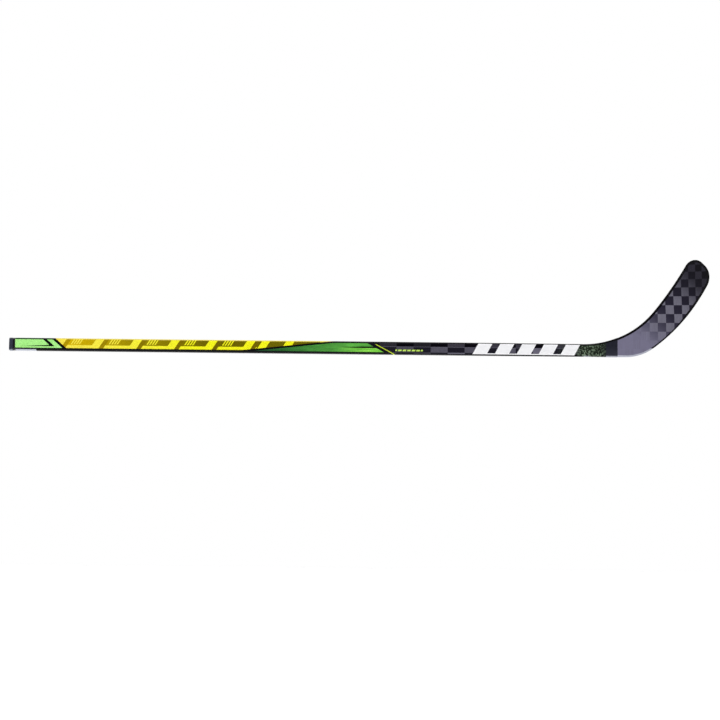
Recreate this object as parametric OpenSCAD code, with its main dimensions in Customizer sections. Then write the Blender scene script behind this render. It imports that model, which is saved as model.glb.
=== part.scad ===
// Ice hockey stick: hollow carbon shaft, moulded hosel and a curved foam-core blade.
// Millimetres. X runs along the shaft from the butt end, the blade rises toward +Z,
// and the forehand (hollow) face looks toward -Y.

/* [Shaft] */
// Distance from the butt end to the shaft's socket end
shaft_len = 1385; // [1100:5:1600]
// Wide side of the shaft (Z)
shaft_w = 30; // [24:0.5:36]
// Narrow side of the shaft (Y)
shaft_t = 20; // [17:0.5:24]
// Corner radius of the shaft section
shaft_r = 5; // [3.5:0.25:7]
// Carbon wall thickness
wall = 2; // [1.4:0.1:3]
// How far before the socket end the shaft starts to thin
taper_len = 235; // [150:5:400]
// Narrow side of the shaft at the socket end
tip_t = 14; // [12:0.5:17]

/* [End cap] */
// Length of the cap's head outside the shaft
cap_head = 9; // [5:0.5:20]
// Length of the cap's stem inside the shaft
cap_stem = 38; // [25:1:60]
// How far the head stands proud of the shaft, each side
cap_lip = 0.4; // [0:0.1:1]

/* [Hosel] */
// Length of the tenon that is glued into the shaft
tenon_len = 65; // [45:1:90]
// Length of the hosel between the shaft and the blade
hosel_len = 85; // [70:1:110]
// Wall thickness of the hosel and the tenon
hosel_wall = 1.8; // [1.2:0.1:2.5]
// Glue gap around the tenon and around the cap's stem, each side
bond = 0.3; // [0.15:0.05:0.5]

/* [Blade] */
// Thickness of the blade at the hosel
heel_t = 12; // [10:0.5:13]
// Thickness of the blade past the heel
mid_t = 8.5; // [7:0.25:10]
// Thickness of the blade at the toe
toe_t = 5.2; // [4:0.2:7]
// Thickness of each face skin
skin = 1; // [0.6:0.1:1.5]
// Width of the edge band all round the blade
rim_w = 3.5; // [2:0.25:5]
// Width of the bridge between the two foam cores
bridge_w = 3.2; // [2:0.2:5]
// How far the toe is curved out of the shaft's plane
curve_depth = 45; // [15:1:50]
// How late the curve comes, higher is closer to the toe
curve_power = 2.7; // [1.8:0.1:3.2]
// Length scale of the blade, 1 is a senior blade
blade_k = 1; // [0.8:0.01:1.1]

/* [Films and labels] */
// Thickness of the printed film and of the outer weave ply
film = 0.25; // [0.15:0.05:0.5]
// Distance from the butt end to the start of the printed film
print_x = 15; // [12:1:30]
// Distance from the butt end to the middle of the printed film's slanted end
print_end = 905; // [600:5:1000]

/* [Hidden] */
steps = 8;
half_w = shaft_w / 2;
taper_x = shaft_len - taper_len;
hosel_x = shaft_len + hosel_len;
tenon_x = shaft_len - tenon_len;
neck_x = hosel_x - 28;
neck_film = 0.4;
slant = -1.87;
patch_x = hosel_x + 67 * blade_k;
patch_t = 0.2;
lie = 50;
blade_x = hosel_x + 30;
bend_u = 20 * blade_k;
toe_u = 270 * blade_k;
bridge_v = -14 * blade_k;
fill_u = 16 * blade_k;

// Outline of the blade: start, then [radius, heading after the arc] along the top edge, the toe
// and the sole. Positive radii turn left, negative radii turn right.
edge_start = hosel_x - 82.5;
top_arcs = [[220.8, 50.9], [733.9, 61.2]];
toe_top = [-22.5, -43.5];
sole_arcs = [[-41.5, -116.4], [-408.8, -144.1], [-114.3, -180]];
all_arcs = concat(top_arcs, [toe_top], sole_arcs);

// ---------- shared geometry ----------

// A rounded rectangle in the Y-Z plane as a ring of points
function ring(x, lo, hi, t, r, slant = 0) = let (
    c = [[t / 2 - r, hi - r], [r - t / 2, hi - r], [r - t / 2, lo + r], [t / 2 - r, lo + r]])
  [for (q = [0:3]) for (i = [0:steps]) let (
      a = 90 * (q + i / steps),
      y = c[q][0] + r * cos(a),
      z = c[q][1] + r * sin(a))
    [x + slant * z, y, z]];

// Thickness of the shaft along its length
function sh_t(x) = x <= taper_x ? shaft_t
  : shaft_t + (tip_t - shaft_t) * (x - taper_x) / taper_len;

// A shaft section grown by g (negative goes inward)
function sh_ring(x, g, slant = 0) =
  ring(x, -half_w - g, half_w + g, sh_t(x) + 2 * g, max(shaft_r + g, 0.8), slant);

// Height of the top edge above the axis on its first arc
function top_z(x) = let (d = max(0, x - edge_start), r = top_arcs[0][0] * blade_k)
  half_w + r - sqrt(r * r - d * d);

// A hosel section grown by g
function ho_ring(x, g) = let (f = (x - shaft_len) / hosel_len)
  ring(x, -half_w - g, top_z(x) + g, tip_t + (heel_t - tip_t) * f + 2 * g,
    max(shaft_r + (1.5 - shaft_r) * f + g, 0.6));

// A solid through a list of rings
module loft(rings) {
  n = len(rings[0]);
  m = len(rings);
  points = [for (r = rings) for (p = r) p];
  sides = [for (k = [0:m - 2]) for (i = [0:n - 1]) let (
      a = k * n + i, b = k * n + (i + 1) % n)
    each [[a, a + n, b + n], [a, b + n, b]]];
  ends = [[for (i = [0:n - 1]) i], [for (i = [n - 1:-1:0]) (m - 1) * n + i]];
  polyhedron(points, concat(sides, ends), convexity = 6);
}

// A hollow solid between outer rings and inner rings, open at both ends
module sleeve(outer, inner) {
  n = len(outer[0]);
  m = len(outer);
  k = len(inner);
  o = m * n;
  points = concat([for (r = outer) for (p = r) p], [for (r = inner) for (p = r) p]);
  out_sides = [for (j = [0:m - 2]) for (i = [0:n - 1]) let (
      a = j * n + i, b = j * n + (i + 1) % n)
    each [[a, a + n, b + n], [a, b + n, b]]];
  in_sides = [for (j = [0:k - 2]) for (i = [0:n - 1]) let (
      a = o + j * n + i, b = o + j * n + (i + 1) % n)
    each [[a, b + n, a + n], [a, b, b + n]]];
  near = [for (i = [0:n - 1]) let (j = (i + 1) % n) each [[i, j, o + j], [i, o + j, o + i]]];
  e = (m - 1) * n;
  f = o + (k - 1) * n;
  far = [for (i = [0:n - 1]) let (j = (i + 1) % n)
    each [[e + i, f + j, e + j], [e + i, f + i, f + j]]];
  polyhedron(points, concat(out_sides, in_sides, near, far), convexity = 8);
}

// Points of one arc that starts at p with heading h and ends with heading g.
// Turning right, the arc's centre lies to the right; r is the signed radius.
function arc(p, h, r, g) = let (
    s = sign(r), q = abs(r), c = [p[0] - s * q * sin(h), p[1] + s * q * cos(h)],
    n = max(4, round(abs(g - h) / 5)))
  [for (i = [1:n]) let (a = h + (g - h) * i / n) [c[0] + s * q * sin(a), c[1] - s * q * cos(a)]];

function last(v) = v[len(v) - 1];

// Rise over all the arcs; the straight run across the toe makes up the rest, so that the
// sole ends level with the lower side of the shaft
function rise(i = 0) = i == len(all_arcs) ? 0 : rise(i + 1) + all_arcs[i][0] * blade_k
  * (cos(i == 0 ? 0 : all_arcs[i - 1][1]) - cos(all_arcs[i][1]));
toe_run = (shaft_w + rise()) / sin(-toe_top[1]);
function grown(r, i) = (r > 0 ? abs(r) * blade_k + i : -(abs(r) * blade_k - i));

// The blade's outline in the X-Z plane, inset by i
function outline(i) = let (
    p0 = [edge_start, half_w - i],
    a = arc(p0, 0, grown(top_arcs[0][0], i), top_arcs[0][1]),
    b = arc(last(a), top_arcs[0][1], grown(top_arcs[1][0], i), top_arcs[1][1]),
    c = arc(last(b), top_arcs[1][1], grown(toe_top[0], i), toe_top[1]),
    run = last(c) + toe_run * [cos(toe_top[1]), sin(toe_top[1])],
    d = arc(run, toe_top[1], grown(sole_arcs[0][0], i), sole_arcs[0][1]),
    e = arc(last(d), sole_arcs[0][1], grown(sole_arcs[1][0], i), sole_arcs[1][1]),
    f = arc(last(e), sole_arcs[1][1], grown(sole_arcs[2][0], i), sole_arcs[2][1]))
  concat([p0], a, b, c, [run], d, e, f, [[edge_start, last(f)[1]]]);

// Out-of-plane curve and thickness of the blade, along its own length u
function bend(u) = curve_depth * pow(max(0, (u - bend_u) / (toe_u - bend_u)),
  curve_power);
function ease(f) = let (g = min(1, max(0, f))) g * g * (3 - 2 * g);
function thick(u) = u < 80 * blade_k ? heel_t + (mid_t - heel_t) * ease((u - 5) / (75 * blade_k))
  : mid_t + (toe_t - mid_t) * min(1, (u / blade_k - 80) / 190);
function face_y(u, side, g) = -bend(u) + side * (thick(u) / 2 + g);
us = concat([-160], [for (u = [5:7.5:305]) u * blade_k]);

// A layer of the blade between two faces, each given as [side, growth]
module layer(a, b) {
  back = [for (u = us) [u, face_y(u, b[0], b[1])]];
  front = [for (i = [len(us) - 1:-1:0]) [us[i], face_y(us[i], a[0], a[1])]];
  translate([blade_x, 0, 0])
    rotate([0, -lie, 0])
      translate([0, 0, -160])
        linear_extrude(340)
          polygon(concat(back, front));
}

// A flat X-Z shape made into a prism through the blade
module through()
  rotate([90, 0, 0])
    translate([0, 0, -30])
      linear_extrude(110)
        children();

// The part of a flat shape between two X stations
module between(xa, xb)
  intersection() {
    children();
    translate([xa, -100])
      square([xb - xa, 400]);
  }

// A box in the blade's own length and width directions
module blade_box(ua, ub, va, vb)
  translate([blade_x, 0, 0])
    rotate([0, -lie, 0])
      translate([ua, -80, va])
        cube([ub - ua, 110, vb - va]);

module blade_face(inset) between(hosel_x, hosel_x + 400) polygon(outline(inset));
module core_layer() layer([-1, -skin], [1, -skin]);

// ---------- sub-parts ----------

// Moulded plug: a chamfered head and a hollow stem with a web
module end_cap() {
  s = -wall - bond;
  color("#333b4e") {
    loft([sh_ring(0, cap_lip - 1.6), sh_ring(0.5, cap_lip - 0.6), sh_ring(1.6, cap_lip),
      sh_ring(cap_head, cap_lip)]);
    difference() {
      loft([sh_ring(cap_head - 1, s), sh_ring(cap_head + cap_stem - 1, s),
        sh_ring(cap_head + cap_stem, s - 0.8)]);
      for (side = [-1, 1])
        translate([cap_head + 2, 0, side * half_w / 2 - side * 1])
          translate([0, -shaft_t / 2 + wall + bond + 2, -4.6])
            cube([cap_stem + 5, shaft_t - 2 * wall - 2 * bond - 4, 9.2]);
    }
  }
}

module cap_glue() color("#d8cfa6")
  sleeve([sh_ring(cap_head + 4, -wall), sh_ring(cap_head + cap_stem - 6, -wall)],
    [sh_ring(cap_head + 4, -wall - bond), sh_ring(cap_head + cap_stem - 6, -wall - bond)]);

module shaft_tube() color("#1b1b22")
  sleeve([for (x = [cap_head, taper_x, shaft_len]) sh_ring(x, 0)],
    [for (x = [cap_head, taper_x, shaft_len]) sh_ring(x, -wall)]);

module graphic_wrap() color("#e8d52c")
  sleeve([sh_ring(print_x, film), sh_ring(print_end, film, slant)],
    [sh_ring(print_x, 0), sh_ring(print_end, 0, slant)]);

module weave_ply() color("#2e2c36")
  sleeve([sh_ring(print_end, film, slant), sh_ring(taper_x, film), sh_ring(shaft_len, film)],
    [sh_ring(print_end, 0, slant), sh_ring(taper_x, 0), sh_ring(shaft_len, 0)]);

// Blank label folded round the lower narrow side
module size_label() color("#c1c6d2")
  intersection() {
    sleeve([for (x = [print_x + 1, print_x + 51]) sh_ring(x, film + 0.12)],
      [for (x = [print_x + 1, print_x + 51]) sh_ring(x, film)]);
    translate([print_x, -shaft_t, -shaft_w])
      cube([60, 2 * shaft_t, half_w + 2.4]);
  }

// Row of plain dashes on one strip, low on the forehand face
module spec_strip() color("#b9d94a")
  translate([print_end + 28, -shaft_t / 2 - film - 0.12, -8])
    cube([66, 0.12, 4]);

// Slanted bars joined by an underline, printed over the weave ply's forehand face and corners
module mark_bars() {
  ink = 0.15;
  first = shaft_len - 266;
  end = first + 262;
  low = 2 - half_w;
  high = half_w - 2.5;
  xs = [first - 5, taper_x, shaft_len];
  module bar(xa, xb)
    polygon([[xa, low], [xb, low], [xb + 14, high], [xa + 14, high]]);
  color("#f6f6fb")
    intersection() {
      through()
        union() {
          translate([first, low])
            square([end - 16 - first, 2]);
          for (i = [0:4])
            bar(first + 53 * i, first + 53 * i + 34);
        }
      sleeve([for (x = xs) sh_ring(x, film + ink)], [for (x = xs) sh_ring(x, film)]);
      translate([first - 10, -shaft_t, -shaft_w])
        cube([300, shaft_t, 2 * shaft_w]);
    }
}

print_xs = [for (f = [0:0.25:1]) shaft_len + f * (neck_x - shaft_len)];
wrap_xs = [for (f = [0:0.5:1]) neck_x + f * (hosel_x - neck_x)];
hosel_out = concat([for (x = [tenon_x, shaft_len]) sh_ring(x, -wall - bond)],
  [for (x = print_xs) ho_ring(x, 0)], [for (i = [1, 2]) ho_ring(wrap_xs[i], 0)]);
hosel_in = concat([for (x = [tenon_x, shaft_len - 6]) sh_ring(x, -wall - bond - hosel_wall)],
  [ho_ring(shaft_len + 5, -wall - bond - 1)],
  [for (f = [0.3:0.175:1]) ho_ring(shaft_len + f * hosel_len, -hosel_wall)]);

module hosel_shell() color("#24232b") sleeve(hosel_out, hosel_in);
module hosel_core() color("#e9e4cf") loft(hosel_in);

module bond_film() color("#b9a24a")
  sleeve([for (x = [tenon_x + 2, shaft_len]) sh_ring(x, -wall)],
    [for (x = [tenon_x + 2, shaft_len]) sh_ring(x, -wall - bond)]);

function neck(xs, g) = [for (x = xs) ho_ring(x, g)];

module neck_print() color("#5c6a45")
  sleeve(neck(print_xs, film), neck(print_xs, 0));

module neck_wrap() color("#2a2b38")
  sleeve(neck(wrap_xs, neck_film), neck(wrap_xs, 0));

// Dense block where the hosel meets the blade
module heel_filler() color("#8b7f5e")
  intersection() {
    through() blade_face(rim_w);
    core_layer();
    blade_box(-160, fill_u, -160, 180);
  }

module core_half(va, vb)
  intersection() {
    through() blade_face(rim_w);
    core_layer();
    blade_box(fill_u, 320, va, vb);
  }

module core_upper() color("#efe9d2") core_half(bridge_v + bridge_w / 2, 180);
module core_lower() color("#e6dfc4") core_half(-160, bridge_v - bridge_w / 2);
module blade_bridge() color("#1d1c22")
  core_half(bridge_v - bridge_w / 2, bridge_v + bridge_w / 2);

module forehand_skin() color("#4b4856")
  intersection() {
    through() blade_face(rim_w);
    layer([-1, 0], [-1, -skin]);
  }

module backhand_skin() color("#45424f")
  intersection() {
    through() blade_face(rim_w);
    layer([1, -skin], [1, 0]);
  }

module edge_band() color("#0e0d12")
  intersection() {
    through()
      difference() {
        blade_face(0);
        blade_face(rim_w);
      }
    layer([-1, 0], [1, 0]);
  }

module patch(side)
  intersection() {
    through() between(hosel_x, patch_x) polygon(outline(rim_w));
    layer([side, side < 0 ? patch_t : 0], [side, side < 0 ? 0 : patch_t]);
  }

module forehand_patch() color("#7c7a94") patch(-1);
module backhand_patch() color("#74728a") patch(1);

end_cap();
cap_glue();
shaft_tube();
graphic_wrap();
weave_ply();
size_label();
spec_strip();
mark_bars();
hosel_shell();
hosel_core();
bond_film();
neck_print();
neck_wrap();
heel_filler();
core_upper();
core_lower();
blade_bridge();
forehand_skin();
backhand_skin();
edge_band();
forehand_patch();
backhand_patch();
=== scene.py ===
"""Looks for the ice hockey stick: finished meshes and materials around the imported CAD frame."""

import math

import bpy
import numpy as np
from mathutils import Euler, Matrix, Vector

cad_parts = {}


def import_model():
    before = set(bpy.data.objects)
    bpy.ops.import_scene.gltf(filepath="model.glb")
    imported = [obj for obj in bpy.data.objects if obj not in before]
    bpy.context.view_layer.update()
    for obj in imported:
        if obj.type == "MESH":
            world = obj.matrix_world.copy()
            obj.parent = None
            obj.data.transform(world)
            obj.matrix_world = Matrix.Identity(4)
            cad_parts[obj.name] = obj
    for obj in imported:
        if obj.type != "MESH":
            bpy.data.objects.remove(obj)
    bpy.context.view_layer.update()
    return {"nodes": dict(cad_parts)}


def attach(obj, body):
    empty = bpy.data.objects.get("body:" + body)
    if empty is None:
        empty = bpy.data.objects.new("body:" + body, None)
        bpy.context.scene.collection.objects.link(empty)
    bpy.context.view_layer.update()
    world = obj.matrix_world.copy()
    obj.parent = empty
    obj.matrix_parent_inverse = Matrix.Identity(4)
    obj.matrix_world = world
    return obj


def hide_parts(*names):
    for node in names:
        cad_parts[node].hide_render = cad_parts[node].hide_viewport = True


MM = 0.001

# Sizes in millimetres, as in the CAD
SHAFT_LEN, SHAFT_W, SHAFT_T, SHAFT_R = 1385, 30, 20, 5
TAPER_LEN, TIP_T = 235, 14
HOSEL_LEN, HEEL_T, MID_T, TOE_T = 85, 12, 8.5, 5.2
CAP_HEAD, CAP_LIP = 9, 0.4
FILM, NECK_FILM, INK = 0.25, 0.4, 0.15
PRINT_X, PRINT_END, SLANT = 15, 905, -1.87
RIM_W, SKIN = 3.5, 1.0
CURVE_DEPTH, CURVE_POWER, BEND_U, TOE_U = 45, 2.7, 20, 270
LIE = math.radians(50)
HALF_W = SHAFT_W / 2
TAPER_X = SHAFT_LEN - TAPER_LEN
HOSEL_X = SHAFT_LEN + HOSEL_LEN
NECK_X = HOSEL_X - 28
PATCH_X = HOSEL_X + 67
BLADE_X = HOSEL_X + 30
# Where the top edge starts to rise out of the shaft
EDGE_START = HOSEL_X - 82.5
# How far the blade's skins and edge reach back over the hosel
BLADE_BACK = 4
# How far the heel plies stand proud of the skins, and how far thin pieces sink into what they lie on
HEEL_PLY, SINK = 0.12, 0.05
# Corner radius of the hosel where it meets the blade
BLADE_R = 1.5
# The blade's outline as arcs: signed radius (positive turns left), heading at the end
ARCS = (
    (220.8, 50.9),
    (733.9, 61.2),
    (-22.5, -43.5),
    (-41.5, -116.4),
    (-408.8, -144.1),
    (-114.3, -180),
)
# The arc that the toe's straight run follows
RUN_AFTER = 2

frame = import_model()
nodes = frame["nodes"]


# ---------- colours and shader graphs ----------


def rgb(code):
    """sRGB hex to linear."""
    v = [int(code[i : i + 2], 16) / 255 for i in (0, 2, 4)]
    return tuple(c / 12.92 if c <= 0.04045 else ((c + 0.055) / 1.055) ** 2.4 for c in v)


class Val:
    """A scalar socket with arithmetic."""

    def __init__(self, graph, socket):
        self.g, self.s = graph, socket

    def __add__(self, o):
        return self.g.math("ADD", self, o)

    __radd__ = __add__

    def __sub__(self, o):
        return self.g.math("SUBTRACT", self, o)

    def __rsub__(self, o):
        return self.g.math("SUBTRACT", o, self)

    def __mul__(self, o):
        return self.g.math("MULTIPLY", self, o)

    __rmul__ = __mul__

    def __truediv__(self, o):
        return self.g.math("DIVIDE", self, o)

    def abs(self):
        return self.g.math("ABSOLUTE", self)

    def floor(self):
        return self.g.math("FLOOR", self)

    def wrap(self, period):
        return self.g.math("MODULO", self + 1000 * period, period)

    def power(self, e):
        return self.g.math("POWER", self, e)

    def floor_at(self, low):
        return self.g.math("MAXIMUM", self, low)

    def clip(self):
        n = self.g.math("ADD", self, 0.0)
        n.s.node.use_clamp = True
        return n

    def ramp(self, start, length):
        """0 up to start, 1 from a length further on."""
        return ((self - start) / length).clip()

    def above(self, edge, soft=0.4):
        """0 under the edge, 1 over it, with a soft step."""
        return ((self - edge) / soft + 0.5).clip()

    def below(self, edge, soft=0.4):
        return 1.0 - self.above(edge, soft)

    def between(self, lo, hi, soft=0.4):
        return self.above(lo, soft) * self.below(hi, soft)


class Graph:
    """A material being built. x, y and z are the row's coordinates in millimetres."""

    def __init__(self, name, rough=0.4, coat=0.0, coat_rough=0.05, spec=0.5):
        self.m = bpy.data.materials.new(name)
        self.m.use_nodes = True
        self.t = self.m.node_tree
        self.bsdf = self.t.nodes["Principled BSDF"]
        self.set("Roughness", rough)
        self.set("Specular IOR Level", spec)
        self.set("Coat Weight", coat)
        self.set("Coat Roughness", coat_rough)
        coord = self.t.nodes.new("ShaderNodeTexCoord")
        scale = self.t.nodes.new("ShaderNodeVectorMath")
        scale.operation = "SCALE"
        scale.inputs["Scale"].default_value = 1 / MM
        self.t.links.new(coord.outputs["Object"], scale.inputs[0])
        self.pos = scale.outputs["Vector"]
        split = self.t.nodes.new("ShaderNodeSeparateXYZ")
        self.t.links.new(self.pos, split.inputs[0])
        self.x, self.y, self.z = (Val(self, split.outputs[i]) for i in range(3))

    def plug(self, value, socket):
        if isinstance(value, Val):
            value = value.s
        if isinstance(value, bpy.types.NodeSocket):
            self.t.links.new(value, socket)
        elif socket.type == "RGBA":
            socket.default_value = (*value[:3], 1.0)
        else:
            socket.default_value = value

    def set(self, name, value):
        """Give a Principled input a number, a colour or a socket."""
        self.plug(value, self.bsdf.inputs[name])

    def math(self, op, a, b=None):
        n = self.t.nodes.new("ShaderNodeMath")
        n.operation = op
        self.plug(a, n.inputs[0])
        if b is not None:
            self.plug(b, n.inputs[1])
        return Val(self, n.outputs[0])

    def length(self, a, b):
        return (a * a + b * b).power(0.5)

    def mix(self, f, a, b):
        """Colour a where f is 0, b where f is 1."""
        n = self.t.nodes.new("ShaderNodeMix")
        n.data_type = "RGBA"
        self.plug(f, n.inputs["Factor"])
        self.plug(a, n.inputs[6])
        self.plug(b, n.inputs[7])
        return n.outputs[2]

    def shade(self, colour, factor):
        """Colour times a scalar."""
        n = self.t.nodes.new("ShaderNodeVectorMath")
        n.operation = "SCALE"
        self.plug(colour, n.inputs[0])
        self.plug(factor, n.inputs["Scale"])
        return n.outputs["Vector"]

    def vec(self, x, y, z):
        n = self.t.nodes.new("ShaderNodeCombineXYZ")
        for i, v in enumerate((x, y, z)):
            self.plug(v, n.inputs[i])
        return n.outputs[0]

    def noise(self, scale, detail=2.0, stretch=(1, 1, 1), rough=0.5):
        """Noise with features about 1/scale millimetres across."""
        n = self.t.nodes.new("ShaderNodeTexNoise")
        n.inputs["Scale"].default_value = scale
        n.inputs["Detail"].default_value = detail
        n.inputs["Roughness"].default_value = rough
        v = self.vec(self.x * stretch[0], self.y * stretch[1], self.z * stretch[2])
        self.t.links.new(v, n.inputs["Vector"])
        return Val(self, n.outputs["Fac"])

    def cell(self, x, z, seed=0.0):
        """A random number from 0 to 1 for each whole-number cell."""
        n = self.t.nodes.new("ShaderNodeTexWhiteNoise")
        n.noise_dimensions = "3D"
        self.t.links.new(self.vec(x, z, seed), n.inputs["Vector"])
        return Val(self, n.outputs["Value"])

    def bump(self, height, distance, strength):
        """Relief of the given depth in millimetres."""
        n = self.t.nodes.new("ShaderNodeBump")
        n.inputs["Strength"].default_value = strength
        n.inputs["Distance"].default_value = distance * MM
        self.plug(height, n.inputs["Height"])
        self.plug(n.outputs[0], self.bsdf.inputs["Normal"])
        return self

    def colour(self, value):
        self.set("Base Color", value)
        return self


# ---------- materials ----------


def cap_material():
    """Dark blue-grey moulded plastic, scuffed round the rim of the flat end, with a painted highlight
    under the head.
    """
    g = Graph("cap_plastic_mat", spec=0.3)
    grain = g.noise(1.6, 3)
    wear = g.noise(0.12, 3)
    scuffs = g.noise(0.5, 3).above(0.5, 0.3)
    rim = g.x.below(1.2, 1.2) * scuffs * g.length(g.y * 1.5, g.z).above(13, 3)
    base = g.mix(wear, rgb("232835"), rgb("30374a"))
    # The underside of the head is painted pale grey: a painted highlight from the pale floor below.
    base = g.mix(g.z.below(-13.4, 1.5) * g.x.above(2, 1), base, rgb("8f95a4"))
    g.colour(g.mix(rim * 0.22, base, rgb("6a7184")))
    g.set("Roughness", 0.42 + grain * 0.2)
    return g.bump(grain, 0.15, 0.5).m


def carbon_material():
    """Unidirectional laminate under a clear coat."""
    g = Graph("carbon_mat", coat=0.4, coat_rough=0.08, spec=0.15)
    fibre = g.noise(0.9, 4, stretch=(0.03, 1, 1))
    g.colour(g.mix(fibre, rgb("06060a"), rgb("1d1d26")))
    g.set("Roughness", 0.22 + fibre * 0.15)
    return g.bump(fibre, 0.05, 0.4).m


def yellow_field(g):
    """Mustard ground that darkens along the shaft, with bright slanted blocks and thin ticks."""
    period, lean_by, start = 91.2, 0.64, 19.5
    gap_from, gap_to = 20.2, 31.5
    ticks_from, ticks_to, tick_pitch, tick_width = 38, 60.2, 6.4, 3.4
    blocks_end = 600

    ground = g.mix(g.x.ramp(130, 170), rgb("dcb800"), rgb("9c8a00"))
    ground = g.mix(g.x.ramp(290, 200), ground, rgb("6c6200"))
    bright = g.mix(g.x.ramp(150, 300), rgb("fbe94c"), rgb("f7f61c"))
    lean = g.x - lean_by * g.z
    s = (lean - start).wrap(period)
    block = g.z.above(-1.7) * s.above(gap_from)
    gap = s.between(gap_from, gap_to)
    tick = (s - ticks_from).wrap(tick_pitch).below(tick_width, 0.6)
    ticks = tick * s.between(ticks_from, ticks_to) * g.z.above(0.8)
    bars = lean.between(603, 622)
    bars += lean.between(661, 681) * g.z.above(2)
    bars += lean.between(744, 764) * g.z.above(7)
    blocks = (1.0 - block + ticks).clip() * (1.0 - gap) * lean.below(blocks_end)
    field = g.mix(gap * 0.5, ground, rgb("7a6400"))
    field = g.mix((blocks + bars).clip(), field, bright)
    field = g.mix(lean.below(124), field, rgb("f9e650"))
    # The rounded top corner is painted pale, whitish yellow: a painted highlight.
    return g.mix(g.z.above(12.6, 1.2), field, rgb("dccb55"))


def green_wedge(g, black):
    """Green that brightens along the shaft, streaked, with a black slit near its end."""
    streak = g.noise(0.25, 3, stretch=(0.12, 0.6, 1)).above(0.5, 0.35)
    wedge = g.mix(g.x.ramp(570, 100), rgb("17322c"), rgb("2f6b30"))
    wedge = g.mix(g.x.ramp(670, 150), wedge, rgb("58a843"))
    wedge = g.shade(wedge, 0.8 + streak * 0.4)
    lime = g.mix(streak, rgb("6cc63f"), rgb("98e65a"))
    wedge = g.mix(g.x.ramp(790, 80) * g.z.below(1, 3), wedge, lime)
    slit_z, slit_x, slit_half = 0.6, 798, 1.9
    off = (g.z - slit_z).abs()
    slit = off.below(0.036 * (g.x - slit_x), 0.5) * off.below(slit_half) * g.x.above(slit_x + 2)
    wedge = g.mix(slit, wedge, black)
    wedge = g.mix(g.z.below(-10.6, 0.8), wedge, black)
    return g.mix(g.z.above(10.4, 1.0) * g.x.above(770, 40), wedge, rgb("03120a"))


def butt_panel(g, mottle, q, low, black):
    """Pale green with a tapering slit and a black diagonal; q runs across the diagonals."""
    panel = g.mix(mottle, rgb("a2f07e"), rgb("b3f695"))
    panel = g.mix(g.z.above(11.2, 0.8), panel, rgb("04400a"))
    slit = g.z.between(-5.3, 0.045 * (g.x - 28) - 5.1, 0.5) * g.x.between(26, 106)
    panel = g.mix(slit, panel, rgb("031407"))
    panel = g.mix(q.between(95, 104.5) * g.z.above(-5.3), panel, black)
    return g.mix(low, panel, black)


def print_material():
    """Printed film: a green butt panel, yellow with plain slanted blocks, then a green wedge."""
    g = Graph("print_film_mat", coat=0.06, coat_rough=0.1, spec=0.05)
    mottle = g.noise(0.05, 3)
    fine = g.noise(1.2, 2)
    black = rgb("07060a")
    low = g.z.below(-9.2, 0.8)
    field = g.mix(low, yellow_field(g), black)

    # The wedge rises from the lower side under a black line
    over_line = g.z + 8.7 - 0.1096 * (g.x - 590)
    field = g.mix(over_line.below(2.4), field, black)
    field = g.mix(over_line.below(-2.2) * g.x.above(540, 60), field, green_wedge(g, black))

    # The butt panel ends in a black diagonal
    q = g.x + 1.14 * g.z
    field = g.mix(q.below(128), field, black)
    field = g.mix(q.below(118.5) * (1.0 - low), field, butt_panel(g, mottle, q, low, black))

    # The slanted end is black with a thin lime line
    end = g.x - SLANT * g.z
    field = g.mix(end.above(884.5), field, rgb("100f16"))
    field = g.mix(end.between(898.8, 902.8, 0.8) * g.z.below(8, 2), field, rgb("c9e23c"))
    g.colour(g.shade(field, 0.94 + mottle * 0.12))
    g.set("Roughness", 0.34 + fine * 0.12)
    return g.bump(fine, 0.02, 0.3).m


def shaft_weave_material():
    """Spread-tow ply on the lower shaft, turning to an olive print by the hosel."""
    g = Graph("shaft_weave_mat", coat=0.07, coat_rough=0.07, spec=0.05)
    x, z = g.x, g.z
    cell_x, cell_z, seam_z = 41.1, 13.2, 2.9
    i, j = ((x - 935.7) / cell_x).floor(), ((z - seam_z) / cell_z).floor()
    rnd = g.cell(i, j, 3.0)
    light_cell = (i + j).wrap(2).above(0.5, 0.01)
    lengthwise = g.noise(1.5, 3, stretch=(0.04, 1, 1))
    crosswise = g.noise(1.5, 3, stretch=(1, 1, 0.04))
    low = z.below(seam_z, 0.3)
    dark = g.mix(low, rgb("040209"), rgb("1a1823"))
    light = g.mix(low, rgb("423f4a"), rgb("6e6b7b"))
    dark = g.shade(dark, 0.7 + lengthwise * 0.6)
    fade_in = 0.45 + x.above(1018, 8) * 0.55
    light = g.shade(light, (0.5 + rnd * 0.5) * (0.8 + crosswise * 0.4) * fade_in)
    tone = g.mix(light_cell, dark, light)
    seam = (z - seam_z).abs().below(0.5)
    tone = g.mix(seam * 0.6, tone, rgb("6f6d7b"))
    tone = g.mix(x.above(1352, 60), tone, olive_pattern(g))
    edges = (z.above(11.6, 1.4) + z.below(-13.2, 1.0)).clip()
    g.colour(g.mix(edges, tone, rgb("040308")))
    g.set("Roughness", 0.3 + lengthwise * 0.2)
    return g.bump(lengthwise * 0.5 + crosswise * 0.5, 0.03, 0.35).m


def olive_pattern(g):
    """Fine square mosaic in olive and black, densest low on the face."""
    size = 2.6
    fine = g.cell((g.x / size).floor(), (g.z / size).floor(), 7.0)
    coarse = g.cell((g.x / (size * 2)).floor(), (g.z / (size * 2)).floor(), 9.0)
    patch = g.noise(0.035, 2)
    low = (1.0 - (g.z + 14) / 34).clip()
    light = (fine.above(0.55, 0.1) * (0.35 + coarse * 0.65) * (patch + low * 0.5)).clip()
    base = g.mix(coarse, rgb("0b100b"), rgb("222d1e"))
    return g.mix(light, base, rgb("7e917a"))


def above_face(g, z0):
    """1 on the black top edge, which starts at z0 and rises with the blade's first arc."""
    d = (g.x - EDGE_START).floor_at(0)
    return g.z.above(z0 + d * d / (2 * ARCS[0][0]), 1.5)


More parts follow.
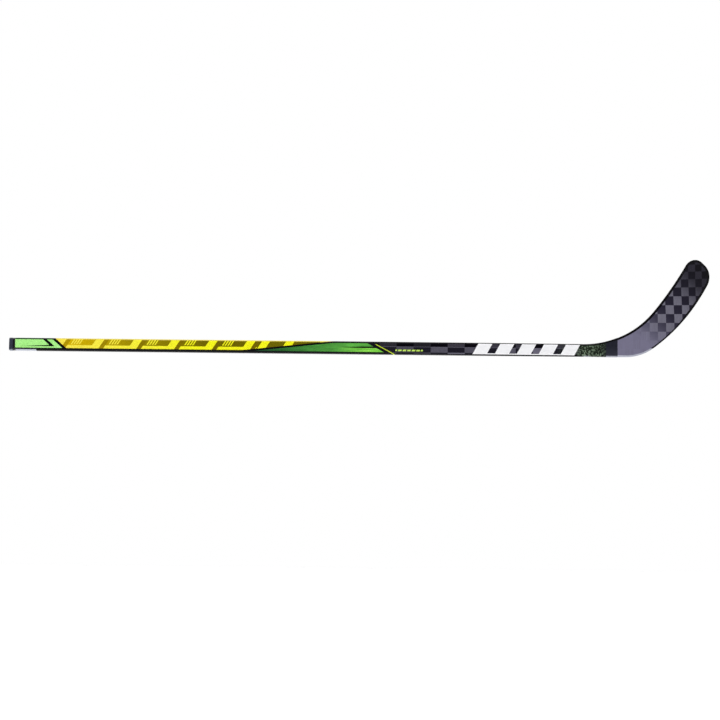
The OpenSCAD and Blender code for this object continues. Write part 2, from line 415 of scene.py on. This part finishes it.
def neck_material():
    """The olive print over the hosel, fading to near black toward the band."""
    g = Graph("olive_print_mat", coat=0.1, coat_rough=0.08, spec=0.08)
    tone = g.mix(g.x.above(1438, 26), olive_pattern(g), rgb("14161d"))
    g.colour(g.mix(above_face(g, 10.5), tone, rgb("020203")))
    g.set("Roughness", 0.34)
    return g.bump(g.noise(1.5, 3), 0.02, 0.4).m


def band_material():
    """The navy band where the blade starts, paler low down, with its sole painted pale grey: a
    painted reflection of the floor.
    """
    g = Graph("navy_band_mat", coat=0.1, coat_rough=0.12, spec=0.08)
    weave = g.noise(1.2, 3, stretch=(0.08, 1, 1))
    low = (1.0 - (g.z + 15) / 26).clip()
    tone = g.mix(weave, rgb("171922"), rgb("282934"))
    tone = g.mix(low * 0.4, tone, rgb("42434f"))
    tone = g.mix(above_face(g, 11), tone, rgb("020203"))
    # The sole is painted pale grey: a painted reflection of the pale floor.
    g.colour(g.mix(g.z.below(-13.2, 1.0), tone, rgb("9a9ca8")))
    g.set("Roughness", 0.4)
    return g.bump(weave, 0.04, 0.4).m


def blade_weave_material(name, seams=True):
    """20 mm spread-tow checks: pale and even at the heel, a painted sheen; contrasting; then dark at
    the toe, painted shade.
    """
    g = Graph(name, coat=0.07, coat_rough=0.1, spec=0.05)
    u = along_blade(g.x, g.z)

    # Checks, a little closer together toward the toe
    pitch_x, pitch_z = 19.9, 21.4
    lean = g.x + 0.06 * (g.z - 79).floor_at(0)
    past = (lean - 1612).floor_at(0)
    high = (g.z - 140).floor_at(0)
    sx = (lean - 1547.9) / pitch_x + 0.00015 * past * past
    sz = (g.z - 25.7) / pitch_z + 0.000127 * high * high
    i, j = sx.floor(), sz.floor()
    dark_cell = (i + j).wrap(2).below(0.5, 0.01)
    rnd = g.cell(i, j, 1.0)

    # Tones along the blade: the pale, even heel is a painted sheen, and the darkening toward the toe
    # is painted shade.
    heel_sheen_tone = rgb("757288")
    across = g.noise(1.1, 4, stretch=(1, 1, 0.05))
    along = g.noise(1.1, 4, stretch=(0.05, 1, 1))
    tow = g.noise(0.4, 2, stretch=(1, 1, 0.02))
    show = u.ramp(42, 60)
    fade = 1.0 - (1.0 - u.ramp(42, 103)).power(1.8)
    toe_shade_ramp = u.ramp(150, 85)
    toe = toe_shade_ramp * toe_shade_ramp * (3.0 - toe_shade_ramp * 2.0)
    light = g.mix(show, heel_sheen_tone, rgb("6e6c7a"))
    light = g.mix(toe, light, rgb("27252f"))
    dark = g.mix(fade, heel_sheen_tone, rgb("211e2e"))
    dark = g.mix(u.ramp(148, 106), dark, rgb("08060e"))
    light = g.shade(light, 0.68 + across * 0.2 + tow * 0.36 + rnd * 0.1)
    dark = g.shade(dark, 0.86 + along * 0.2 + rnd * 0.1)
    tone = g.mix(dark_cell, light, dark)
    if seams:
        ex, ez = (sx - i) * pitch_x, (sz - j) * pitch_z
        seam = (ex.below(0.45, 0.4) + ez.below(0.45, 0.4)).clip() * 0.4
        tone = g.mix(seam * show, tone, rgb("26242e"))
    g.colour(tone)
    g.set("Roughness", 0.36 + along * 0.16)
    return g.bump(g.mix(dark_cell, across.s, along.s), 0.05, 0.5).m


def edge_material():
    """Black edge resin, painted pale grey along the sole by the heel: a painted reflection of the
    pale floor.
    """
    g = Graph("edge_resin_mat", coat=0.06, coat_rough=0.1, spec=0.06)
    n = g.noise(0.25, 4)
    # Pale grey along the sole by the heel: a painted reflection of the floor.
    heel = g.z.below(6) * g.x.below(1585, 60)
    black = g.mix(n, rgb("020104"), rgb("09080d"))
    pale = g.mix(n, rgb("9a9dac"), rgb("c2c3d0"))
    g.colour(g.mix(heel, black, pale))
    g.set("Roughness", 0.3 + n * 0.15)
    return g.bump(n, 0.08, 0.3).m


def plain_material(name, low, high, rough=0.4, coat=0.5, grain=0.8, depth=0.03):
    """A printed, moulded or cast surface with fine mottling."""
    g = Graph(name, coat=coat, coat_rough=0.12)
    n, m = g.noise(grain, 3), g.noise(grain * 0.08, 2)
    g.colour(g.mix(n * 0.5 + m * 0.5, rgb(low), rgb(high)))
    g.set("Roughness", rough - 0.06 + n * 0.12)
    return g.bump(n, depth, 0.4).m


def foam_material():
    """Pale closed-cell foam."""
    g = Graph("foam_mat", spec=0.3)
    n = g.t.nodes.new("ShaderNodeTexVoronoi")
    n.inputs["Scale"].default_value = 1.4
    g.t.links.new(g.pos, n.inputs["Vector"])
    cells = Val(g, n.outputs["Distance"])
    g.colour(g.mix(cells, rgb("cfc6a4"), rgb("efe8cf")))
    g.set("Roughness", 0.8 + cells * 0.1)
    return g.bump(cells, 0.3, 0.6).m


def dash_material():
    """A row of plain slanted lime dashes on a dark strip."""
    g = Graph("lime_print_mat", coat=0.3, coat_rough=0.1, spec=0.12)
    pitch, length = 11, 8.4
    n = g.noise(0.9, 2)
    s = (g.x - 0.4 * g.z - 931).wrap(pitch)
    dash = s.below(length, 0.3) * g.z.between(-7.9, -4.1, 0.2)
    lime = g.mix(n, rgb("b4e04a"), rgb("d6f57c"))
    g.colour(g.mix(dash, rgb("14131b"), lime))
    g.set("Roughness", 0.36)
    return g.bump(n, 0.02, 0.3).m


# ---------- meshes ----------

CORNER_STEPS = 10


def shaft_t(x):
    """The shaft's thickness at x."""
    return SHAFT_T if x <= TAPER_X else SHAFT_T + (TIP_T - SHAFT_T) * (x - TAPER_X) / TAPER_LEN


def round_ring(x, lo, hi, t, r, slant=0.0):
    """A rounded rectangle in the Y-Z plane as points."""
    centres = ((t / 2 - r, hi - r), (r - t / 2, hi - r), (r - t / 2, lo + r), (t / 2 - r, lo + r))
    out = []
    for q, (cy, cz) in enumerate(centres):
        for i in range(CORNER_STEPS + 1):
            a = math.pi / 2 * (q + i / CORNER_STEPS)
            y, z = cy + r * math.cos(a), cz + r * math.sin(a)
            out.append((x + slant * z, y, z))
    return out


def shaft_ring(x, g, slant=0.0):
    """The shaft's section at x, grown by g."""
    r = max(SHAFT_R + g, 0.8)
    return round_ring(x, -HALF_W - g, HALF_W + g, shaft_t(x) + 2 * g, r, slant)


def top_z(x):
    """Height of the hosel's top, which rises with the blade's first arc."""
    d, r = max(0.0, x - EDGE_START), ARCS[0][0]
    return HALF_W + r - math.sqrt(r * r - d * d)


def hosel_ring(x, g):
    """The hosel's section at x, grown by g."""
    f = (x - SHAFT_LEN) / HOSEL_LEN
    t = TIP_T + (HEEL_T - TIP_T) * f + 2 * g
    r = max(SHAFT_R + (BLADE_R - SHAFT_R) * f + g, 0.6)
    return round_ring(x, -HALF_W - g, top_z(x) + g, t, r)


def make(name, points, faces, material, node, sharp=40):
    """A smooth-shaded piece from points in millimetres, standing for a CAD node."""
    mesh = bpy.data.meshes.new(name)
    mesh.from_pydata([[c * MM for c in p] for p in points], [], faces)
    mesh.polygons.foreach_set("use_smooth", [True] * len(mesh.polygons))
    mesh.set_sharp_from_angle(angle=math.radians(sharp))
    mesh.materials.append(material)
    mesh.validate()
    obj = bpy.data.objects.new(name, mesh)
    bpy.context.scene.collection.objects.link(obj)
    if node:
        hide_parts(node)
    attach(obj, "root")


def band_faces(rows, n, close_rows=False, flip=False):
    """Quads through rows of n points, each row closed on itself."""
    out = []
    for k in range(rows if close_rows else rows - 1):
        a, b = k * n, (k + 1) % rows * n
        for i in range(n):
            j = (i + 1) % n
            quad = [a + i, a + j, b + j, b + i]
            out.append(quad[::-1] if flip else quad)
    return out


def sleeve(name, outer, inner, material, node):
    """A closed tube wall between outer and inner rings."""
    rings = list(outer) + list(inner)[::-1]
    points = [p for r in rings for p in r]
    make(name, points, band_faces(len(rings), len(rings[0]), True), material, node)


def lofted(name, rings, material, node, sharp):
    """A solid through rings, capped at both ends."""
    n = len(rings[0])
    points = [p for r in rings for p in r]
    faces = band_faces(len(rings), n)
    faces.append(list(range(n))[::-1])
    faces.append([(len(rings) - 1) * n + i for i in range(n)])
    make(name, points, faces, material, node, sharp)


def sheet(name, outer, inner, flip, material, node):
    """A closed sheet between two grids of points, each a list of columns."""
    cols, rows = len(outer), len(outer[0])
    n = 2 * rows
    points = [p for a, b in zip(outer, inner) for p in a + b[::-1]]
    faces = band_faces(cols, n, flip=flip)
    for k, turn in ((0, flip), (cols - 1, not flip)):
        for i in range(rows - 1):
            quad = [k * n + v for v in (i, i + 1, n - 2 - i, n - 1 - i)]
            faces.append(quad if turn else quad[::-1])
    make(name, points, faces, material, node, 50)


def bend(u):
    """How far the blade has curved toward -Y, at u along it."""
    return CURVE_DEPTH * np.maximum(0, (u - BEND_U) / (TOE_U - BEND_U)) ** CURVE_POWER


def ease(f):
    g = np.clip(f, 0, 1)
    return g * g * (3 - 2 * g)


def thick(u):
    """The blade's thickness at u: it thins quickly past the heel, then slowly to the toe."""
    thin_from, thin_to = 5, 80
    near = HEEL_T + (MID_T - HEEL_T) * ease((u - thin_from) / (thin_to - thin_from))
    far = MID_T + (TOE_T - MID_T) * np.minimum(1, (u - thin_to) / (TOE_U - thin_to))
    return np.where(u < thin_to, near, far)


def along_blade(x, z):
    """Distance along the blade, from where it starts on the shaft's axis."""
    return (x - BLADE_X) * math.cos(LIE) + z * math.sin(LIE)


def blade_y(x, z, side, g):
    """The blade's face on one side, grown by g."""
    u = along_blade(x, z)
    return -bend(u) + side * (thick(u) / 2 + g)


def toe_run():
    """Length of the straight run that brings the sole out level with the shaft."""
    headings = [0] + [math.radians(a[1]) for a in ARCS]
    climb = SHAFT_W
    for (r, _), h0, h1 in zip(ARCS, headings[:-1], headings[1:]):
        climb += r * (math.cos(h0) - math.cos(h1))
    return climb / math.sin(-headings[RUN_AFTER + 1])


def edge_line():
    """The blade's edge from the hosel round the toe and back: points and inward normals."""
    step, least = 2.5, 6
    p, h = np.array([EDGE_START, HALF_W]), 0.0
    out = [(p[0], p[1], h)]
    for k, (r, end) in enumerate(ARCS):
        end = math.radians(end)
        n = max(least, int(abs(r * (end - h)) / step))
        s, q = math.copysign(1, r), abs(r)
        c = p + s * q * np.array([-math.sin(h), math.cos(h)])
        for i in range(1, n + 1):
            a = h + (end - h) * i / n
            out.append((c[0] + s * q * math.sin(a), c[1] - s * q * math.cos(a), a))
        p, h = np.array(out[-1][:2]), end
        if k == RUN_AFTER:
            for i in (0.33, 0.67, 1.0):
                v = p + i * toe_run() * np.array([math.cos(h), math.sin(h)])
                out.append((v[0], v[1], h))
            p = np.array(out[-1][:2])
    out.append((EDGE_START, out[-1][1], h))
    a = np.array(out)
    return a[:, :2], np.stack([np.sin(a[:, 2]), -np.cos(a[:, 2])], 1)


EDGE, INWARD = edge_line()
TIP = int(np.argmax(EDGE[:, 0]))


def edge_z(x, inset, low):
    """Height of the top edge, or of the sole if low, at each x, inset by some millimetres."""
    line = EDGE + INWARD * inset
    part = line[TIP:][::-1] if low else line[: TIP + 1]
    keep = np.concatenate([[True], np.diff(np.maximum.accumulate(part[:, 0])) > 1e-6])
    return np.interp(x, part[keep, 0], part[keep, 1])


def skin_grid(x0, x1=None):
    """Columns across the blade's face inside the rim, close together where the toe rounds off."""
    rows, step = 20, 3.0
    if x1 is None:
        end = (EDGE[:, 0] + INWARD[:, 0] * RIM_W).max()
        f = np.linspace(0, 1, int((end - x0) / step))
        xs = x0 + (end - x0 - 0.02) * np.sin(f * math.pi / 2) ** 0.9
    else:
        xs = np.linspace(x0, x1, int((x1 - x0) / step) + 1)
    v = np.linspace(0, 1, rows)[None, :]
    top, sole = edge_z(xs, RIM_W, False)[:, None], edge_z(xs, RIM_W, True)[:, None]
    return np.repeat(xs[:, None], rows, 1), top + (sole - top) * v


def slab(name, grid, side, g_out, g_in, material, node):
    """A closed sheet on one face of the blade between two growths."""
    x, z = grid
    outer = np.stack([x, blade_y(x, z, side, g_out), z], 2)
    inner = np.stack([x, blade_y(x, z, side, g_in), z], 2)
    sheet(name, outer.tolist(), inner.tolist(), side > 0, material, node)


def edge_band(material):
    """The rounded black edge all round the blade. It laps the skins, less and less along the sole."""
    proud, full_lap, end_lap, round_steps = 0.15, 2.2, 0.1, 12
    full_points, lap_loss = 40, 1 / 8
    back = HOSEL_X - BLADE_BACK
    start = int(np.searchsorted(EDGE[:TIP, 0], back))
    stop = TIP + int(np.argmax(EDGE[TIP:, 0] < back))
    rings = []
    for k in range(start, stop + 1):
        e, n = EDGE[k], INWARD[k]
        half = float(thick(np.array(along_blade(e[0], e[1])))) / 2
        r = min(half * 0.8, 2.4)
        lap = min(full_lap, max(end_lap, full_lap - (k - TIP - full_points) * lap_loss))
        ring = [(RIM_W + lap, -1, 0.0), (RIM_W + lap - 0.04, -1, -proud), (RIM_W - 0.5, -1, -proud)]
        for i in range(round_steps + 1):
            a = math.pi * i / round_steps
            side = -1 if i < round_steps / 2 else 1
            ring.append((r - r * math.sin(a), side, r - r * abs(math.cos(a))))
        ring += [(RIM_W - 0.5, 1, -proud), (RIM_W + lap - 0.04, 1, -proud), (RIM_W + lap, 1, 0.0)]
        row = []
        for inset, side, sunk in ring:
            p = e + n * inset
            y = float(blade_y(p[0], p[1], side, -sunk))
            row.append((p[0], y, p[1]))
        rings.append(row)
    lofted("blade_edge", rings, material, "edge_band", 60)


def bar_piece(index, xa, xb, z0, z1, lean, material, node=None):
    """One slanted bar that follows the shaft's forehand face and its corners."""
    cols, rows = 10, 17

    def layer(g):
        out = []
        for i in range(cols):
            line = []
            for j in range(rows):
                z = z0 + (z1 - z0) * j / (rows - 1)
                x = xa + (xb - xa) * i / (cols - 1) + lean * (z - z0) / (z1 - z0)
                half, r = shaft_t(x) / 2 + g, SHAFT_R + g
                over = max(0.0, abs(z) - (HALF_W + g - r))
                y = -(half - r + math.sqrt(max(0.0, r * r - over * over)))
                line.append((x, y, z))
            out.append(line)
        return out

    name = f"mark_bar_{index}"
    sheet(name, layer(FILM + INK), layer(FILM - SINK), True, material, node)


# ---------- pieces ----------

cap_mat, carbon_mat = cap_material(), carbon_material()
print_mat, weave_mat = print_material(), shaft_weave_material()
neck_mat, band_mat = neck_material(), band_material()
skin_mat = blade_weave_material("blade_weave_mat")
heel_mat = blade_weave_material("heel_ply_mat", seams=False)
edge_mat, foam_mat, dash_mat = edge_material(), foam_material(), dash_material()
white_mat = plain_material("white_print_mat", "f6f6fb", "ffffff", 0.35)
label_mat = plain_material("label_mat", "a2a7b5", "b6bbc8", 0.45)
glue_mat = plain_material("glue_mat", "a8924a", "cdb873", 0.5, 0.0, 0.3, 0.2)
filler_mat = plain_material("filler_mat", "6b5c3a", "8f8260", 0.4, 0.2, 0.4, 0.1)

# Butt cap: a rounded end, two shallow grooves round the head, and the stem inside the tube
ROUND_X, ROUND_IN = 1.8, 1.6
GROOVE, STEM_LEN, STEM_IN = 0.25, 38, 2.3
cap = []
for f in (0.0, 0.12, 0.3, 0.55, 0.8, 1.0):
    a = f * math.pi / 2
    cap.append(shaft_ring(ROUND_X * (1 - math.cos(a)), CAP_LIP - ROUND_IN * (1 - math.sin(a))))
for x in (3.4, 6.0):
    cap.append(shaft_ring(x, CAP_LIP))
    cap.append(shaft_ring(x + 0.3, CAP_LIP - GROOVE))
    cap.append(shaft_ring(x + 0.9, CAP_LIP - GROOVE))
    cap.append(shaft_ring(x + 1.2, CAP_LIP))
cap.append(shaft_ring(CAP_HEAD - 0.3, CAP_LIP))
cap.append(shaft_ring(CAP_HEAD, CAP_LIP - 0.3))
cap.append(shaft_ring(CAP_HEAD, -STEM_IN))
cap.append(shaft_ring(CAP_HEAD + STEM_LEN - 2, -STEM_IN))
cap.append(shaft_ring(CAP_HEAD + STEM_LEN, -STEM_IN - 0.8))
lofted("butt_cap", cap, cap_mat, "end_cap", 35)

print_outer = [shaft_ring(PRINT_X, FILM - 0.1), shaft_ring(PRINT_X + 0.2, FILM)]
print_inner = [shaft_ring(PRINT_X, 0), shaft_ring(PRINT_X + 0.2, 0)]
print_outer.append(shaft_ring(PRINT_END, FILM, SLANT))
print_inner.append(shaft_ring(PRINT_END, 0, SLANT))
sleeve("printed_film", print_outer, print_inner, print_mat, "graphic_wrap")

ply_xs = (1000, 1075, TAPER_X, 1200, 1260, 1320, SHAFT_LEN)
ply_outer = [shaft_ring(PRINT_END, FILM, SLANT)] + [shaft_ring(x, FILM) for x in ply_xs]
ply_inner = [shaft_ring(PRINT_END, 0, SLANT)] + [shaft_ring(x, 0) for x in ply_xs]
sleeve("lower_ply", ply_outer, ply_inner, weave_mat, "weave_ply")

neck_xs = np.linspace(SHAFT_LEN, NECK_X, 12)
neck_outer = [hosel_ring(x, FILM) for x in neck_xs]
neck_inner = [hosel_ring(x, 0) for x in neck_xs]
sleeve("neck_print_film", neck_outer, neck_inner, neck_mat, "neck_print")

wrap_xs = np.linspace(NECK_X, HOSEL_X, 9)
wrap_outer = [hosel_ring(x, NECK_FILM) for x in wrap_xs]
for end in (0, -1):
    wrap_outer[end] = hosel_ring(wrap_xs[end], NECK_FILM - 0.15)
wrap_inner = [hosel_ring(x, 0) for x in wrap_xs]
sleeve("neck_band", wrap_outer, wrap_inner, band_mat, "neck_wrap")

face = skin_grid(HOSEL_X - BLADE_BACK)
slab("forehand_face", face, -1, 0.0, -SKIN, skin_mat, "forehand_skin")
slab("backhand_face", face, 1, 0.0, -SKIN, skin_mat, "backhand_skin")
heel = skin_grid(HOSEL_X - 0.2, PATCH_X)
slab("heel_ply_forehand", heel, -1, HEEL_PLY, -SINK, heel_mat, "forehand_patch")
slab("heel_ply_backhand", heel, 1, HEEL_PLY, -SINK, heel_mat, "backhand_patch")
edge_band(edge_mat)

# White print: five slanted bars on a thin underline
BARS, BAR_PITCH, BAR_WIDTH, BAR_LEAN = 5, 53, 34, 14
UNDERLINE = 2
first = SHAFT_LEN - 266
low, high = 2 - HALF_W, HALF_W - 2.5
for k in range(BARS):
    xa = first + BAR_PITCH * k
    node = "mark_bars" if k == 0 else None
    bar_piece(k, xa, xa + BAR_WIDTH, low, high, BAR_LEAN, white_mat, node)
last = first + BAR_PITCH * (BARS - 1) + BAR_WIDTH
bar_piece(BARS, first, last, low, low + UNDERLINE, 1, white_mat)

for name, mat in (
    ("shaft_tube", carbon_mat),
    ("hosel_shell", carbon_mat),
    ("blade_bridge", carbon_mat),
    ("cap_glue", glue_mat),
    ("bond_film", glue_mat),
    ("hosel_core", foam_mat),
    ("core_upper", foam_mat),
    ("core_lower", foam_mat),
    ("heel_filler", filler_mat),
    ("size_label", label_mat),
    ("spec_strip", dash_mat),
):
    nodes[name].data.materials.clear()
    nodes[name].data.materials.append(mat)

# ---------- floor, light and camera ----------

FLOOR_Z, FLOOR_REACH = -0.62, 30.0


def floor():
    mesh = bpy.data.meshes.new("floor")
    s = FLOOR_REACH
    corners = [(-s, -s, FLOOR_Z), (s, -s, FLOOR_Z), (s, s, FLOOR_Z), (-s, s, FLOOR_Z)]
    mesh.from_pydata(corners, [], [(0, 1, 2, 3)])
    obj = bpy.data.objects.new("floor", mesh)
    bpy.context.scene.collection.objects.link(obj)
    g = Graph("floor_mat", rough=0.9, spec=0.2)
    g.colour(g.mix(g.noise(0.002, 2), rgb("fafafb"), rgb("fdfdfd")))
    mesh.materials.append(g.m)


def light(name, place, aim, size, power):
    data = bpy.data.lights.new(name, "AREA")
    data.shape = "RECTANGLE"
    data.size, data.size_y = size
    data.energy = power
    obj = bpy.data.objects.new(name, data)
    obj.location = place
    obj.rotation_euler = (Vector(aim) - Vector(place)).to_track_quat("-Z", "Y").to_euler()
    bpy.context.scene.collection.objects.link(obj)


def world():
    """White to the eye; as light, a soft white ceiling over a darker ring at the horizon."""
    w = bpy.data.worlds.new("studio")
    bpy.context.scene.world = w
    w.use_nodes = True
    t = w.node_tree
    coord, split = t.nodes.new("ShaderNodeTexCoord"), t.nodes.new("ShaderNodeSeparateXYZ")
    t.links.new(coord.outputs["Generated"], split.inputs[0])
    ramp = t.nodes.new("ShaderNodeMapRange")
    ramp.interpolation_type = "SMOOTHSTEP"
    t.links.new(split.outputs[2], ramp.inputs["Value"])
    for name, value in (("From Min", 0.35), ("From Max", 0.75), ("To Min", 0.03), ("To Max", 1.65)):
        ramp.inputs[name].default_value = value
    path, seen = t.nodes.new("ShaderNodeLightPath"), t.nodes.new("ShaderNodeMix")
    t.links.new(path.outputs["Is Camera Ray"], seen.inputs["Factor"])
    t.links.new(ramp.outputs["Result"], seen.inputs[2])
    seen.inputs[3].default_value = 1.0
    t.links.new(seen.outputs[0], t.nodes["Background"].inputs["Strength"])
    t.nodes["Background"].inputs["Color"].default_value = (1, 1, 1, 1)


def camera():
    """A long lens a little under the shaft's level, rolled so that the butt end sits higher."""
    distance, width, sensor = 4.0, 1.7364, 36
    target = Vector((0.8478, -0.010, -0.0304))
    tilt, roll = math.radians(-7), math.radians(0.63)
    data = bpy.data.cameras.new("camera")
    data.sensor_width = sensor
    data.lens = sensor * distance / width
    data.clip_end = 100
    obj = bpy.data.objects.new("camera", data)
    back = Vector((0, -math.cos(tilt), math.sin(tilt)))
    turn = Euler((math.pi / 2 - tilt, 0, 0)).to_matrix().to_4x4() @ Matrix.Rotation(roll, 4, "Z")
    obj.matrix_world = Matrix.Translation(target + back * distance) @ turn
    bpy.context.scene.collection.objects.link(obj)
    bpy.context.scene.camera = obj


floor()
world()
light("key", (0.2, -1.5, 1.8), (0.9, 0, 0), (2.4, 1.0), 12)
camera()
bpy.context.scene.view_settings.view_transform = "Standard"
